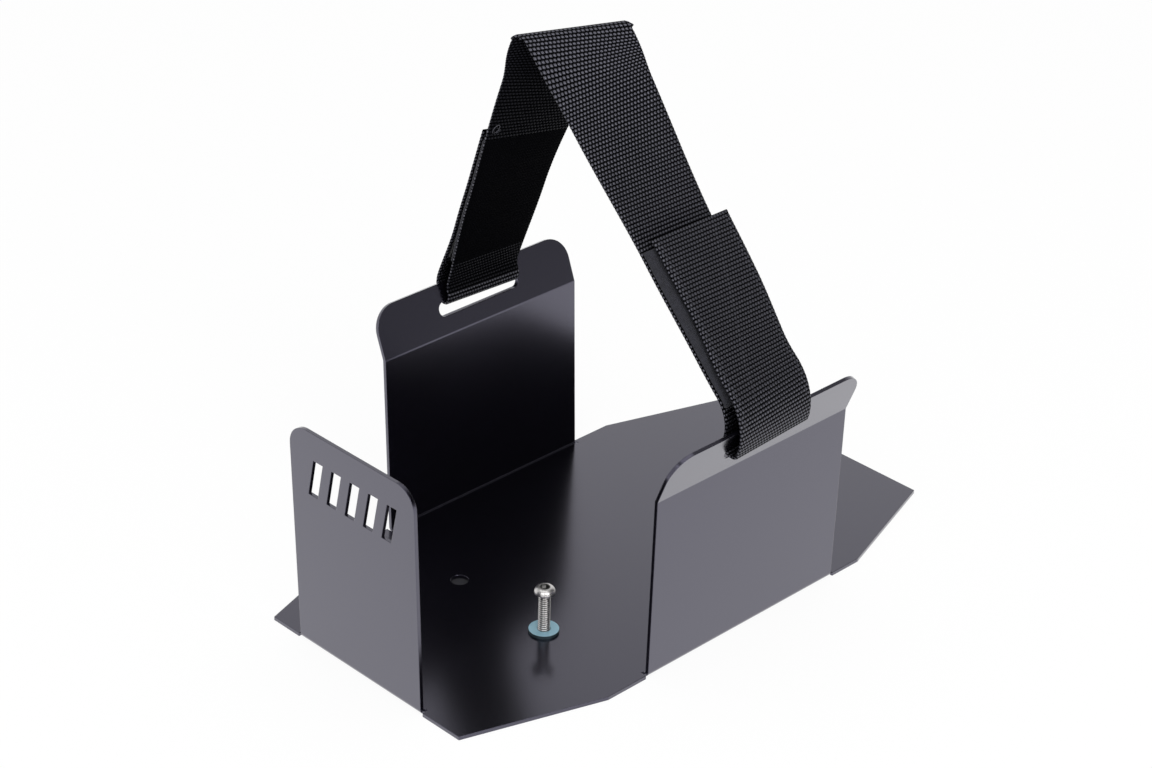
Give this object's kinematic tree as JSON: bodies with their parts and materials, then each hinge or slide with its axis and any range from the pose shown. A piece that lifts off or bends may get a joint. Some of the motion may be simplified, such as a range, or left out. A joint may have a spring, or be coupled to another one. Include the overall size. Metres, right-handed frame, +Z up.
{
  "type": "cooler rack",
  "caption": "Folded black steel cooler tray with an octagonal base, two slotted side flaps, a windowed end flap and a webbing tie-down strap.",
  "frame": {"origin": "centre of the octagonal base plate, on its underside", "axes": "+X along the tray away from its end flap, +Y towards the far side flap, +Z up"},
  "size_m": [0.3465, 0.2206, 0.2911],
  "materials": {
    "powder_coat": "satin",
    "webbing": "matte",
    "loop_tape": "matte",
    "hook_tape": "satin",
    "stainless": "satin",
    "zinc": "satin"
  },
  "bodies": {
    "root": {"cooler_tray": "powder_coat", "strap_webbing": "webbing", "near_loop_tape": "loop_tape", "near_hook_tape": "hook_tape", "far_loop_tape": "loop_tape", "far_hook_tape": "hook_tape", "mounting_screw": "stainless", "flat_washer": "zinc"}
  },
  "joints": []
}
